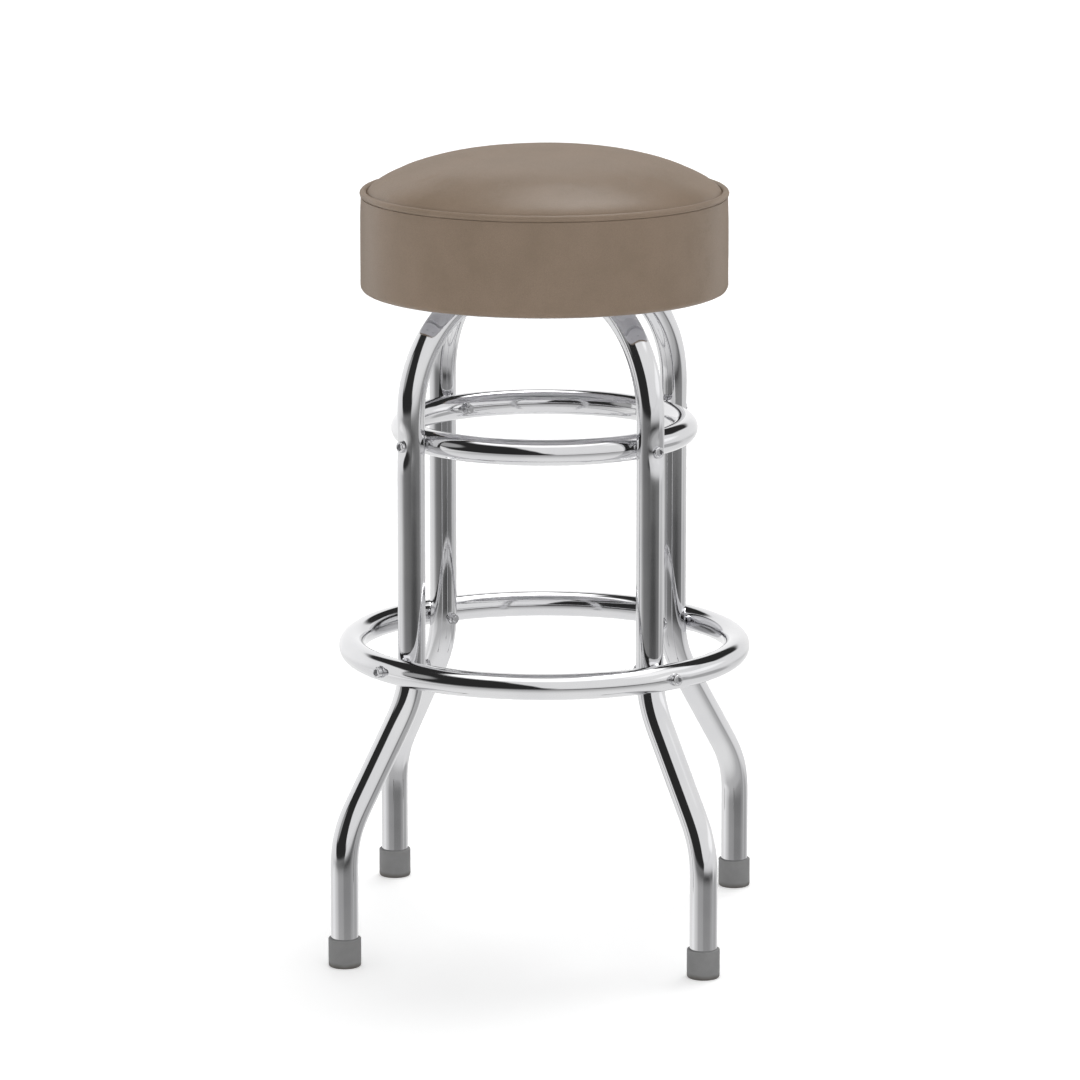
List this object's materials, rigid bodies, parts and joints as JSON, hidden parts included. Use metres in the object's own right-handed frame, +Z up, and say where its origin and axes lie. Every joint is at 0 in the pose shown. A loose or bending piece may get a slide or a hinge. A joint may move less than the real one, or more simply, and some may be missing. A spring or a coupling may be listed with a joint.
{
  "type": "bar stool",
  "caption": "Backless bar stool: round padded seat on a ball-bearing swivel, splayed bent-tube legs, a foot ring outside the posts and a smaller ring inside them.",
  "frame": {"origin": "on the floor, under the middle of the seat", "axes": "+Z up along the swivel's axis, +X to the stool's right and +Y to its back as pictured; the legs stand on the diagonals"},
  "size_m": [0.4067, 0.4066, 0.781],
  "materials": {
    "chrome": "bright chrome on steel tube",
    "bright_steel": "polished bearing steel",
    "zinc": "zinc-plated steel",
    "rubber": "matt grey rubber",
    "vinyl": "taupe upholstery vinyl, satin",
    "foam": "open-cell polyurethane foam",
    "cord": "twisted paper piping cord",
    "plywood": "sanded birch plywood",
    "dust_cloth": "grey non-woven cloth"
  },
  "bodies": {
    "base": {"lower_leg_frame": "chrome", "upper_leg_frame": "chrome", "foot_ring": "chrome", "upper_ring": "chrome", "foot_cap_front_left": "rubber", "foot_cap_front_right": "rubber", "foot_cap_back_left": "rubber", "foot_cap_back_right": "rubber", "foot_ring_bolts": "zinc", "foot_ring_washers": "zinc", "foot_ring_nuts": "zinc", "upper_ring_bolts": "zinc", "upper_ring_washers": "zinc", "upper_ring_nuts": "zinc", "swivel_lower_plate": "zinc", "swivel_mount_bolts": "zinc", "swivel_mount_washers": "zinc", "swivel_mount_nuts": "zinc", "swivel_king_pin": "zinc", "king_pin_washer": "zinc"},
    "ball_race": {"ball_cage": "zinc", "bearing_balls": "bright_steel"},
    "seat": {"swivel_upper_plate": "zinc", "seat_bolts": "zinc", "seat_bolt_washers": "zinc", "seat_tee_nuts": "zinc", "spacer_ring_screws": "zinc", "staples": "zinc", "seat_board": "plywood", "spacer_ring": "plywood", "seat_foam": "foam", "side_padding": "foam", "crown_cover": "vinyl", "seat_band": "vinyl", "seat_piping": "vinyl", "piping_cord": "cord", "dust_cover": "dust_cloth"}
  },
  "joints": [
    {"name": "seat_swivel", "type": "hinge", "parent": "base", "child": "seat", "pos_m": [0, 0, 0.67375], "axis": [0, 0, 1], "continuous": true},
    {"name": "cage_turn", "type": "hinge", "parent": "base", "child": "ball_race", "pos_m": [0, 0, 0.67375], "axis": [0, 0, 1], "continuous": true}
  ],
  "couplings": [
    {"joint": "cage_turn", "follows": "seat_swivel", "ratio": 0.5}
  ]
}
